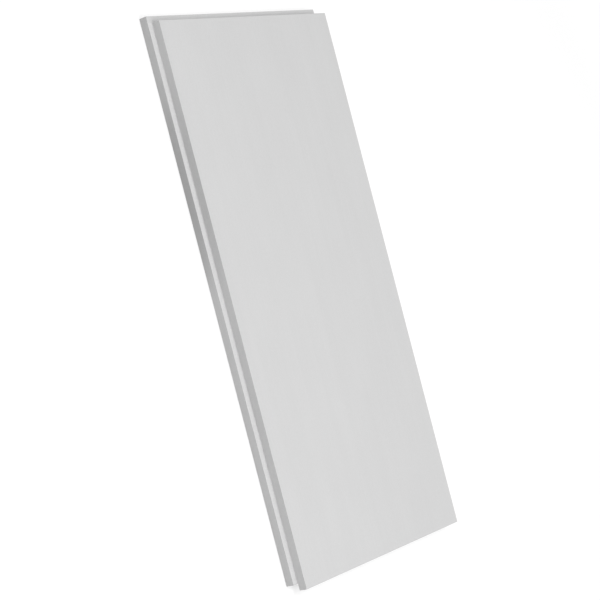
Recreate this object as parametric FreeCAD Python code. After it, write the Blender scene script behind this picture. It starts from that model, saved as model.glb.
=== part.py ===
import FreeCAD
import Part
import os

# Extruded-polystyrene (XPS) insulation board with ship-lap edges on all four
# sides. One extruded blank, trimmed and rebated to half its depth: on the
# upper side along one long edge and one end, and on the lower side along the
# opposite long edge and end, so that like boards overlap when laid.
#
# Frame: millimetres, +X along the length, +Y across the width, +Z up through
# the thickness. The board lies flat. Origin at the centre of its overall
# outline, on the plane of its underside.

# ---- driving dimensions (mm) ----
LAYING_LENGTH = 1250.0   # length of each broad face, and pitch of laid boards
LAYING_WIDTH = 600.0     # width of each broad face, and pitch of laid boards
THICKNESS = 40.0         # full thickness of the board
LAP = 15.0               # how far the lap reaches past the opposite half
LAP_DEPTH = 20.0         # depth of each rebate, half of the thickness

# ---- what follows from them ----
OVERALL_LENGTH = LAYING_LENGTH + LAP    # 1265
OVERALL_WIDTH = LAYING_WIDTH + LAP      # 615
X0, X1 = -OVERALL_LENGTH / 2.0, OVERALL_LENGTH / 2.0
Y0, Y1 = -OVERALL_WIDTH / 2.0, OVERALL_WIDTH / 2.0
LEDGE_Z = THICKNESS - LAP_DEPTH         # height of the upward-facing ledges

# a cutter passes right through, so each tool runs past the blank
RUN_OUT = 10.0


def block(x0, x1, y0, y1, z0, z1):
    """A square block between two opposite corners."""
    return Part.makeBox(
        x1 - x0, y1 - y0, z1 - z0, FreeCAD.Vector(x0, y0, z0)
    )


# the trimmed blank
blank = block(X0, X1, Y0, Y1, 0.0, THICKNESS)

# upward-facing rebates: they leave the two ledges of the lower half
upper_end = block(
    X0 - RUN_OUT, X0 + LAP,
    Y0 - RUN_OUT, Y1 + RUN_OUT,
    LEDGE_Z, THICKNESS + RUN_OUT,
)
upper_side = block(
    X0 - RUN_OUT, X1 + RUN_OUT,
    Y0 - RUN_OUT, Y0 + LAP,
    LEDGE_Z, THICKNESS + RUN_OUT,
)

# downward-facing rebates: they leave the two overhanging laps of the upper half
lower_end = block(
    X1 - LAP, X1 + RUN_OUT,
    Y0 - RUN_OUT, Y1 + RUN_OUT,
    -RUN_OUT, LEDGE_Z,
)
lower_side = block(
    X0 - RUN_OUT, X1 + RUN_OUT,
    Y1 - LAP, Y1 + RUN_OUT,
    -RUN_OUT, LEDGE_Z,
)

board = blank.cut(upper_end.fuse(upper_side)).cut(lower_end.fuse(lower_side))
board = board.removeSplitter()
if board.ShapeType != "Solid":
    board = board.Solids[0]

# ---- self-checks ----
expected = 2.0 * LAYING_LENGTH * LAYING_WIDTH * (THICKNESS / 2.0)
box = board.BoundBox
assert board.isValid() and len(board.Shells) == 1
assert abs(LAP_DEPTH - THICKNESS / 2.0) < 1e-9
assert abs(board.Volume - expected) < 1.0, (board.Volume, expected)
assert abs(box.XLength - OVERALL_LENGTH) < 1e-3
assert abs(box.YLength - OVERALL_WIDTH) < 1e-3
assert abs(box.ZLength - THICKNESS) < 1e-3 and abs(box.ZMin) < 1e-3
print("insulation_board: %d faces, %.6f m3" % (len(board.Faces), board.Volume * 1e-9))

os.makedirs("parts", exist_ok=True)
board.exportStep("parts/insulation_board.step")
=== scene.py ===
import math

import bpy
import numpy as np
from mathutils import Matrix, Vector


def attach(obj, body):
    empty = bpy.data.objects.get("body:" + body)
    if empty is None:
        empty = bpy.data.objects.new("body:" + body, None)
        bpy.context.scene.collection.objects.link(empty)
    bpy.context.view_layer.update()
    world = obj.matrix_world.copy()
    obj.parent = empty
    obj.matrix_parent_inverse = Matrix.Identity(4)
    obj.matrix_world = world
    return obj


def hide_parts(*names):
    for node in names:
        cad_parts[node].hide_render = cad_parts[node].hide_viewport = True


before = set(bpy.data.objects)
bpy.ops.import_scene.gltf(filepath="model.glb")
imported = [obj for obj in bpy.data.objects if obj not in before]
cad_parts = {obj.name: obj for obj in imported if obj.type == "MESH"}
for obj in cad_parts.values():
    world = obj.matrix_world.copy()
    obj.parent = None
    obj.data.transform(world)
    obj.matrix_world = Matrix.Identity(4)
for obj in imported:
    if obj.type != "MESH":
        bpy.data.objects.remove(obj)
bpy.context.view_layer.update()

MM = 0.001
NODE = "insulation_board"

# ------------------------------------------------------------------ camera
# At the reference's viewing angle: looking down on the board as it lies, and
# rolled so that the board's low-X end is at the top of the picture.
RIGHT = Vector((0.2517573550, 0.5989154829, 0.7602094965))
DOWN = Vector((0.9677276180, -0.1468432151, -0.2047933775))
AHEAD = Vector((-0.0110223179, 0.7872339643, -0.6165559131))
EYE = Vector((0.0782573434, -3.3302793064, 2.5976719652))

cam_data = bpy.data.cameras.new("camera")
cam_data.sensor_fit = "HORIZONTAL"
cam_data.sensor_width = 36.0
cam_data.lens = 112.0995942
cam_data.clip_start = 0.05
cam_data.clip_end = 200.0
camera = bpy.data.objects.new("camera", cam_data)
bpy.context.scene.collection.objects.link(camera)
turn = Matrix((RIGHT, -DOWN, -AHEAD)).transposed()
camera.matrix_world = Matrix.Translation(EYE) @ turn.to_4x4()
bpy.context.scene.camera = camera

# ------------------------------------------------------------------ the board
# Its levels come from the CAD node: four along X, four across Y, three up Z.
corners = np.array([v.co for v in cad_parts[NODE].data.vertices])


def levels(axis):
    """The distinct positions of the CAD node's corners along one axis."""
    return sorted(set(np.round(corners[:, axis].astype(float), 5)))


xs, ys, zs = levels(0), levels(1), levels(2)
assert (len(xs), len(ys), len(zs)) == (4, 4, 3), (xs, ys, zs)

ARRIS = 0.7 * MM    # nominal radius of the softened outer edges
HOLD = 0.9 * MM     # a line past each rounding, which keeps the flats flat
STEPS = (0.0, 15.0, 30.0)   # degrees round each half of an arris


def lines(ends, into, cell):
    """Grid lines along one axis. ends are the key levels, into says on which
    sides of each level the foam lies, cell is the widest spacing."""
    fine = set()
    for at, sides in zip(ends, into):
        fine.add(at)
        for side in sides:
            for deg in STEPS:
                fine.add(at + side * ARRIS * (1.0 - math.tan(math.radians(deg))))
            fine.add(at + side * (ARRIS + HOLD))
    fine = sorted(fine)
    out = [fine[0]]
    for a, b in zip(fine, fine[1:]):
        n = max(1, int(math.ceil((b - a) / cell - 1e-6)))
        out += [a + (b - a) * i / n for i in range(1, n + 1)]
    return np.array(out)


gx = lines(xs, ((1,), (1,), (-1,), (-1,)), 7.5 * MM)
gy = lines(ys, ((1,), (1,), (-1,), (-1,)), 7.5 * MM)
gz = lines(zs, ((1,), (1, -1), (-1,)), 3.2 * MM)

mx, my, mz = [(g[1:] + g[:-1]) / 2 for g in (gx, gy, gz)]
low = (
    ((mx > xs[0]) & (mx < xs[2]))[:, None, None]
    & ((my > ys[0]) & (my < ys[2]))[None, :, None]
    & ((mz > zs[0]) & (mz < zs[1]))[None, None, :]
)
high = (
    ((mx > xs[1]) & (mx < xs[3]))[:, None, None]
    & ((my > ys[1]) & (my < ys[3]))[None, :, None]
    & ((mz > zs[1]) & (mz < zs[2]))[None, None, :]
)
full = np.pad(low | high, 1)

# every face between foam and air, as four grid corners, turned outwards
quads, normals_axis, normals_sign = [], [], []
for axis in range(3):
    a, b = (axis + 1) % 3, (axis + 2) % 3
    step = [slice(1, -1)] * 3
    lo_s, hi_s = list(step), list(step)
    lo_s[axis], hi_s[axis] = slice(0, -1), slice(1, None)
    before, after = full[tuple(lo_s)], full[tuple(hi_s)]
    for sign, mask in ((1, before & ~after), (-1, ~before & after)):
        cells = np.argwhere(mask)
        at = np.zeros((len(cells), 4, 3), int)
        at[:] = cells[:, None, :]
        ring = ((0, 0), (1, 0), (1, 1), (0, 1))
        if sign < 0:
            ring = ring[::-1]
        for k, (i, j) in enumerate(ring):
            at[:, k, a] += i
            at[:, k, b] += j
        quads.append(at)
        normals_axis += [axis] * len(cells)
        normals_sign += [sign] * len(cells)
quads = np.concatenate(quads)
normals_axis, normals_sign = np.array(normals_axis), np.array(normals_sign)
code = (quads[..., 0] * len(gy) + quads[..., 1]) * len(gz) + quads[..., 2]
used, index = np.unique(code, return_inverse=True)
index = index.reshape(code.shape)
ix, iy, iz = used // (len(gy) * len(gz)), (used // len(gz)) % len(gy), used % len(gz)
points = np.stack([gx[ix], gy[iy], gz[iz]], 1)
flat_points = points.copy()

rng = np.random.default_rng(362)


def waves(p, count, longest, shortest, stretch=(1.0, 1.0, 1.0)):
    """Smooth seeded ripples in about -1 to 1: a sum of plane waves."""
    out = np.zeros(len(p))
    for _ in range(count):
        length = math.exp(rng.uniform(math.log(shortest), math.log(longest)))
        way = rng.normal(size=3) * np.array(stretch)
        way /= np.linalg.norm(way)
        out += np.sin(p @ way * (2 * math.pi / length) + rng.uniform(0, 2 * math.pi))
    return out / math.sqrt(count)


# the arrises: the foam is opened by a ball, whose radius wanders a little
radius = ARRIS * (0.82 + 0.16 * waves(points, 24, 0.18, 0.022))
radius = np.clip(radius, 0.35 * ARRIS, 1.25 * ARRIS)


def inner(lo, hi, r, p):
    """The nearest point to p of the box lo to hi shrunk by r."""
    lo, hi = np.array(lo)[None, :] + r[:, None], np.array(hi)[None, :] - r[:, None]
    return np.clip(p, lo, hi)


# lines in the rounding's zone follow its radius
reach = ARRIS + HOLD
for axis, (keys, into) in enumerate(
    (
        (xs, ((1,), (1,), (-1,), (-1,))),
        (ys, ((1,), (1,), (-1,), (-1,))),
        (zs, ((1,), (1, -1), (-1,))),
    )
):
    for at, sides in zip(keys, into):
        for side in sides:
            away = (flat_points[:, axis] - at) * side
            near = (away > 1e-7) & (away < ARRIS + 1e-7)
            points[near, axis] = at + side * away[near] * (radius[near] / ARRIS)

cores = (
    inner((xs[0], ys[0], zs[0]), (xs[2], ys[2], zs[1]), radius, points),
    inner((xs[1], ys[1], zs[1]), (xs[3], ys[3], zs[2]), radius, points),
    inner((xs[1], ys[1], zs[0]), (xs[2], ys[2], zs[2]), radius, points),
)
gaps = np.stack([np.linalg.norm(points - c, axis=1) for c in cores])
best = gaps.argmin(0)
core = np.stack(cores)[best, np.arange(len(points))]
gap = gaps.min(0)
rounded = core + (points - core) * (radius / np.maximum(gap, 1e-9))[:, None]
points = np.where((gap > radius + 1e-9)[:, None], rounded, points)

# the extruded faces are very slightly wavy, and always inwards
swell = waves(flat_points, 20, 0.55, 0.16, (0.5, 1.0, 0.0))
ripple = waves(flat_points, 16, 0.07, 0.028, (0.03, 1.0, 0.0))
dip = np.clip(0.5 + 0.22 * swell + 0.10 * ripple, 0.0, 1.0) * 0.16 * MM
depth = zs[2] - flat_points[:, 2]
rise = flat_points[:, 2] - zs[0]
points[:, 2] -= dip * np.clip(1.0 - depth / (6 * MM), 0.0, 1.0)
swell2 = waves(flat_points, 20, 0.55, 0.16, (0.5, 1.0, 0.0))
dip2 = np.clip(0.5 + 0.25 * swell2, 0.0, 1.0) * 0.12 * MM
points[:, 2] += dip2 * np.clip(1.0 - rise / (6 * MM), 0.0, 1.0)

mesh = bpy.data.meshes.new("board")
mesh.vertices.add(len(points))
mesh.vertices.foreach_set("co", points.astype(np.float32).ravel())
mesh.loops.add(index.size)
mesh.loops.foreach_set("vertex_index", index.astype(np.int32).ravel())
mesh.polygons.add(len(index))
mesh.polygons.foreach_set("loop_start", np.arange(0, index.size, 4, dtype=np.int32))
mesh.update(calc_edges=True)
mesh.validate()

# which finish each face has: 0 the extrusion skin, 1 cut along X, 2 cut along Y
mid = flat_points[index].mean(1)
side_x = np.minimum(np.abs(mid[:, 0] - xs[0]), np.abs(mid[:, 0] - xs[3]))
side_x = np.minimum(side_x, np.minimum(np.abs(mid[:, 0] - xs[1]), np.abs(mid[:, 0] - xs[2])))
side_y = np.minimum(np.abs(mid[:, 1] - ys[0]), np.abs(mid[:, 1] - ys[3]))
side_y = np.minimum(side_y, np.minimum(np.abs(mid[:, 1] - ys[1]), np.abs(mid[:, 1] - ys[2])))
finish = np.zeros(len(mid), int)
broad = (normals_axis == 2) & (
    (np.abs(mid[:, 2] - zs[2]) < 1e-6) | (np.abs(mid[:, 2] - zs[0]) < 1e-6)
)
end_strip = (mid[:, 0] < xs[1]) | (mid[:, 0] > xs[2])
finish[~broad & (normals_axis == 1)] = 1
finish[~broad & (normals_axis == 0)] = 2
finish[~broad & (normals_axis == 2)] = np.where(end_strip, 2, 1)[~broad & (normals_axis == 2)]
top = np.abs(mid[:, 2] - zs[2]) < 1e-6
box_x = np.where(top, np.minimum(mid[:, 0] - xs[1], xs[3] - mid[:, 0]),
                 np.minimum(mid[:, 0] - xs[0], xs[2] - mid[:, 0]))
box_y = np.where(top, np.minimum(mid[:, 1] - ys[1], ys[3] - mid[:, 1]),
                 np.minimum(mid[:, 1] - ys[0], ys[2] - mid[:, 1]))
rim = broad & (np.minimum(box_x, box_y) < 0.45 * ARRIS)
finish[rim] = np.where(box_x < box_y, 2, 1)[rim]
mesh.polygons.foreach_set("material_index", finish.astype(np.int32))
mesh.polygons.foreach_set("use_smooth", np.ones(len(finish), bool))

# the inner corners of the rebates stay sharp
face_normals = np.zeros(len(mesh.polygons) * 3)
mesh.polygons.foreach_get("normal", face_normals)
face_normals = face_normals.reshape(-1, 3)
loop_edges = np.zeros(len(mesh.loops), np.int32)
mesh.loops.foreach_get("edge_index", loop_edges)
order = np.argsort(loop_edges, kind="stable")
pairs = order.reshape(-1, 2) // 4
turned = (face_normals[pairs[:, 0]] * face_normals[pairs[:, 1]]).sum(1)
sharp = np.zeros(len(mesh.edges), bool)
sharp[loop_edges[order[::2]]] = turned < math.cos(math.radians(40))
mark = mesh.attributes.new("sharp_edge", "BOOLEAN", "EDGE")
mark.data.foreach_set("value", sharp)

board = bpy.data.objects.new("board", mesh)
bpy.context.scene.collection.objects.link(board)


# ------------------------------------------------------------------ materials
class Nodes:
    """A small helper for building one material's node tree."""

    def __init__(self, name):
        self.material = bpy.data.materials.new(name)
        self.material.use_nodes = True
        self.tree = self.material.node_tree
        self.tree.nodes.clear()

    def add(self, kind, **values):
        node = self.tree.nodes.new(kind)
        for key, value in values.items():
            setattr(node, key, value)
        return node

    def link(self, source, target):
        self.tree.links.new(source, target)

    def put(self, value, socket):
        if isinstance(value, (int, float, tuple)):
            socket.default_value = value
        else:
            self.link(value, socket)

    def maths(self, operation, a, b=None, c=None, clamp=False):
        node = self.add("ShaderNodeMath", operation=operation, use_clamp=clamp)
        for value, socket in zip((a, b, c), node.inputs):
            if value is not None:
                self.put(value, socket)
        return node.outputs[0]

    def place(self, scale):
        """The board's own coordinates in metres, stretched."""
        where = self.add("ShaderNodeTexCoord")
        scaled = self.add("ShaderNodeMapping", vector_type="POINT")
        scaled.inputs["Scale"].default_value = scale
        self.link(where.outputs["Object"], scaled.inputs["Vector"])
        return scaled.outputs["Vector"]

    def noise(self, scale, detail=2.0, rough=0.5, warp=0.0, size=1.0):
        node = self.add("ShaderNodeTexNoise")
        self.link(self.place(scale), node.inputs["Vector"])
        node.inputs["Scale"].default_value = size
        node.inputs["Detail"].default_value = detail
        node.inputs["Roughness"].default_value = rough
        node.inputs["Distortion"].default_value = warp
        return node.outputs["Fac"]

    def centred(self, value, amount):
        """A 0 to 1 pattern as plus or minus about amount."""
        return self.maths("MULTIPLY", self.maths("SUBTRACT", value, 0.5), 2.0 * amount)

    def cells(self, per_m, stretch=(1.0, 1.0, 1.0), feature="F1"):
        node = self.add("ShaderNodeTexVoronoi", feature=feature)
        self.link(self.place(stretch), node.inputs["Vector"])
        node.inputs["Scale"].default_value = per_m
        return node.outputs["Distance"]

    def total(self, *values):
        out = values[0]
        for value in values[1:]:
            out = self.maths("ADD", out, value)
        return out

    def grey(self, base, shade):
        """base colour times (1 + shade)."""
        lit = self.maths("ADD", 1.0, shade)
        mix = self.add("ShaderNodeVectorMath", operation="SCALE")
        mix.inputs[0].default_value = base
        self.link(lit, mix.inputs["Scale"])
        return mix.outputs[0]

    def bump(self, height, distance, strength=1.0, normal=None):
        node = self.add("ShaderNodeBump")
        node.inputs["Strength"].default_value = strength
        node.inputs["Distance"].default_value = distance
        self.link(height, node.inputs["Height"])
        if normal is not None:
            self.link(normal, node.inputs["Normal"])
        return node.outputs["Normal"]

    def surface(self, colour, roughness, normal, **values):
        shader = self.add("ShaderNodeBsdfPrincipled")
        self.put(colour, shader.inputs["Base Color"])
        self.put(roughness, shader.inputs["Roughness"])
        if normal is not None:
            self.link(normal, shader.inputs["Normal"])
        for key, value in values.items():
            shader.inputs[key].default_value = value
        out = self.add("ShaderNodeOutputMaterial")
        self.link(shader.outputs["BSDF"], out.inputs["Surface"])
        return self.material


SKIN = (0.600, 0.600, 0.601)
CUT = (0.618, 0.618, 0.619)


def skin_material():
    """The extruded face: smooth, satin, with faint lines along the length and
    the closed cells just showing through."""
    n = Nodes("xps_skin")
    clouds = n.noise((5.0, 9.0, 1.0), detail=2.0, rough=0.5)
    bands = n.noise((0.7, 26.0, 1.0), detail=2.0, rough=0.55)
    lines = n.noise((2.2, 210.0, 1.0), detail=3.0, rough=0.6)
    pearl = n.noise((150.0, 230.0, 1.0), detail=2.0, rough=0.55)
    grain = n.noise((760.0, 980.0, 200.0), detail=1.0, rough=0.6)
    cell = n.cells(1500.0, (0.8, 1.0, 0.3))
    shade = n.total(
        n.centred(clouds, 0.022),
        n.centred(bands, 0.018),
        n.centred(lines, 0.020),
        n.centred(pearl, 0.030),
        n.centred(grain, 0.050),
        n.centred(cell, 0.040),
    )
    colour = n.grey(SKIN, shade)
    rough = n.maths(
        "ADD",
        0.50,
        n.total(n.centred(bands, 0.08), n.centred(lines, 0.07), n.centred(pearl, 0.12)),
        clamp=True,
    )
    normal = n.bump(pearl, 0.16 * MM, 0.6)
    normal = n.bump(lines, 0.08 * MM, 0.6, normal)
    normal = n.bump(grain, 0.06 * MM, 0.6, normal)
    normal = n.bump(cell, 0.04 * MM, 0.5, normal)
    return n.surface(colour, rough, normal, IOR=1.5)


def cut_material(name, along):
    """Foam where a blade or cutter has passed: fine closed cells, matt, with
    faint cutter lines along the edge, small opened cells, and the denser skin
    showing as a thin line at the two broad faces."""
    n = Nodes(name)
    run = (1.0, 60.0, 60.0) if along == "X" else (60.0, 1.0, 60.0)
    fine = (6.0, 420.0, 420.0) if along == "X" else (420.0, 6.0, 420.0)
    clouds = n.noise((7.0, 7.0, 7.0), detail=2.0)
    bands = n.noise(run, detail=2.0, rough=0.55)
    lines = n.noise(fine, detail=2.0, rough=0.6)
    grain = n.noise((700.0, 700.0, 700.0), detail=2.0, rough=0.65)
    cell = n.cells(2600.0)
    opened = n.cells(620.0)
    pits = n.maths("SUBTRACT", 1.0, n.maths("MULTIPLY", opened, 3.6), clamp=True)
    where = n.add("ShaderNodeSeparateXYZ")
    n.link(n.place((1.0, 1.0, 1.0)), where.inputs[0])
    x, y, z = where.outputs
    middle = (zs[0] + zs[2]) / 2
    off = n.maths("ABSOLUTE", n.maths("SUBTRACT", z, middle))
    dense = n.maths(
        "DIVIDE", n.maths("SUBTRACT", off, zs[2] / 2 - 1.4 * MM), 0.9 * MM, clamp=True
    )
    core = n.maths("MULTIPLY", off, 1.0 / (zs[2] / 2))
    # painted shade: the rebate ledges a little darker, more on the end ledge, which the upper half's
    # step shades
    ledge_shade = n.maths("LESS_THAN", n.maths("ABSOLUTE", n.maths("SUBTRACT", z, zs[1])), 0.15 * MM)
    shade = n.total(
        n.centred(clouds, 0.022),
        n.centred(bands, 0.026),
        n.centred(lines, 0.036),
        n.centred(grain, 0.070),
        n.centred(cell, 0.060),
        n.maths("MULTIPLY", pits, -0.10),
        n.maths("MULTIPLY", dense, -0.035),
        n.maths("MULTIPLY_ADD", core, -0.012, 0.018),
        n.maths("MULTIPLY", ledge_shade, -0.030 if along == "X" else -0.045),
    )
    if along == "X":
        # painted shade: a soft darker stretch on the long outer edge, more on the lower half, standing
        # in for a soft shadow across it
        wander = n.maths("MULTIPLY_ADD", n.noise((14.0, 40.0, 90.0), detail=3.0), 0.10, -0.05)
        far = n.maths("ABSOLUTE", n.maths("ADD", n.maths("ADD", x, 0.26), wander))
        shadow_patch = n.maths("SUBTRACT", 1.0, n.maths("DIVIDE", far, 0.24), clamp=True)
        shadow_patch = n.maths("SMOOTH_MIN", n.maths("MULTIPLY", shadow_patch, 1.5), 1.0, 0.35)
        below = n.maths("DIVIDE", n.maths("SUBTRACT", zs[1], z), 1.2 * MM, clamp=True)
        below = n.maths("MULTIPLY", below, n.maths("LESS_THAN", y, ys[0] + 2.0 * MM))
        above = n.maths("DIVIDE", n.maths("SUBTRACT", z, zs[1]), 3.0 * MM, clamp=True)
        above = n.maths("MULTIPLY", above, n.maths("LESS_THAN", y, ys[1] + 2.0 * MM))
        amount = n.maths("ADD", n.maths("MULTIPLY", below, -0.200), n.maths("MULTIPLY", above, -0.105))
        # painted shade: the lower half's outer edge grows darker towards the low-X end
        low_x_shade = n.maths("DIVIDE", n.maths("SUBTRACT", -0.03, x), 0.08, clamp=True)
        low_x_shade = n.maths("MULTIPLY", n.maths("MULTIPLY", low_x_shade, below), -0.065)
        shade = n.total(shade, n.maths("MULTIPLY", shadow_patch, amount), low_x_shade)
    colour = n.grey(CUT, shade)
    rough = n.maths(
        "ADD",
        0.80,
        n.total(n.centred(grain, 0.12), n.centred(lines, 0.07), n.maths("MULTIPLY", dense, -0.10)),
        clamp=True,
    )
    normal = n.bump(lines, 0.12 * MM, 0.6)
    normal = n.bump(grain, 0.20 * MM, 0.7, normal)
    normal = n.bump(n.maths("SUBTRACT", 1.0, pits), 0.14 * MM, 0.6, normal)
    normal = n.bump(cell, 0.12 * MM, 0.6, normal)
    return n.surface(colour, rough, normal, IOR=1.45)


for material in (
    skin_material(),
    cut_material("xps_cut_along_x", "X"),
    cut_material("xps_cut_along_y", "Y"),
):
    mesh.materials.append(material)

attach(board, "root")
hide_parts(NODE)

# ------------------------------------------------------------------ floor
floor_mesh = bpy.data.meshes.new("floor")
F = 40.0
floor_mesh.from_pydata(
    [(-F, -F, -0.0004), (F, -F, -0.0004), (F, F, -0.0004), (-F, F, -0.0004)],
    [],
    [(0, 1, 2, 3)],
)
floor = bpy.data.objects.new("floor", floor_mesh)
bpy.context.scene.collection.objects.link(floor)
n = Nodes("pale_floor")
soft = n.noise((1.2, 1.2, 1.0), detail=2.0)
seen = n.add("ShaderNodeLightPath").outputs["Is Camera Ray"]
# the floor looks near white, lit partly from within so that shadows on it stay
# faint, but it throws back only as much light as a grey one
tone = n.total(n.maths("MULTIPLY_ADD", seen, -0.22, 0.62), n.centred(soft, 0.004))
shader_in = n.add("ShaderNodeCombineColor")
for socket in shader_in.inputs:
    n.link(tone, socket)
floor_mesh.materials.append(n.surface(shader_in.outputs[0], 0.95, None))
away = n.add("ShaderNodeVectorMath", operation="LENGTH")
n.link(n.place((1.0, 1.0, 1.0)), away.inputs[0])
away = n.maths("DIVIDE", n.maths("SUBTRACT", away.outputs["Value"], 1.6), 3.0, clamp=True)
glow = n.maths("MULTIPLY_ADD", away, 0.375, 0.60)   # no horizon shows far off
shader = next(node for node in n.tree.nodes if node.type == "BSDF_PRINCIPLED")
n.link(n.maths("MULTIPLY", seen, glow), shader.inputs["Emission Strength"])
n.material.cycles.emission_sampling = "NONE"

# ------------------------------------------------------------------ light
world = bpy.data.worlds.new("studio")
world.use_nodes = True
world.node_tree.nodes["Background"].inputs["Color"].default_value = (1, 1, 1, 1)
sky = world.node_tree.nodes.new("ShaderNodeMath")
sky.operation = "MULTIPLY_ADD"
sky.inputs[1].default_value = 0.70      # the backdrop itself is near white
sky.inputs[2].default_value = 0.275     # the light that it gives
world.node_tree.links.new(
    world.node_tree.nodes.new("ShaderNodeLightPath").outputs["Is Camera Ray"], sky.inputs[0]
)
world.node_tree.links.new(
    sky.outputs[0], world.node_tree.nodes["Background"].inputs["Strength"]
)
bpy.context.scene.world = world


def area_light(name, at, aim, size, power):
    data = bpy.data.lights.new(name, "AREA")
    data.shape = "RECTANGLE"
    data.size, data.size_y = size
    data.energy = power
    lamp = bpy.data.objects.new(name, data)
    bpy.context.scene.collection.objects.link(lamp)
    at, aim = Vector(at), Vector(aim)
    lamp.rotation_mode = "QUATERNION"
    lamp.rotation_quaternion = (aim - at).to_track_quat("-Z", "Y")
    lamp.location = at
    lamp.visible_camera = False
    return lamp


for name, at, size, power in (
    ("softbox_over_low_x", (-1.0, -0.5, 5.0), 3.0, 124.0),
    ("softbox_over_high_x", (2.0, -0.5, 5.0), 3.0, 79.0),
    ("softbox_front", (0.0, -2.0, 5.0), 3.0, 24.0),
    ("softbox_back", (2.0, 2.0, 4.0), 3.0, 36.0),
    ("side_fill_high_x", (1.3, -2.0, 0.5), 0.6, 5.5),
    ("side_fill_low_x", (-1.1, -2.0, 0.32), 0.6, 3.9),
):
    area_light(name, at, (0.0, 0.0, 0.02), (size, size), power)

scene = bpy.context.scene
scene.view_settings.view_transform = "Standard"
scene.view_settings.look = "None"
scene.view_settings.exposure = 0.0
scene.view_settings.gamma = 1.0
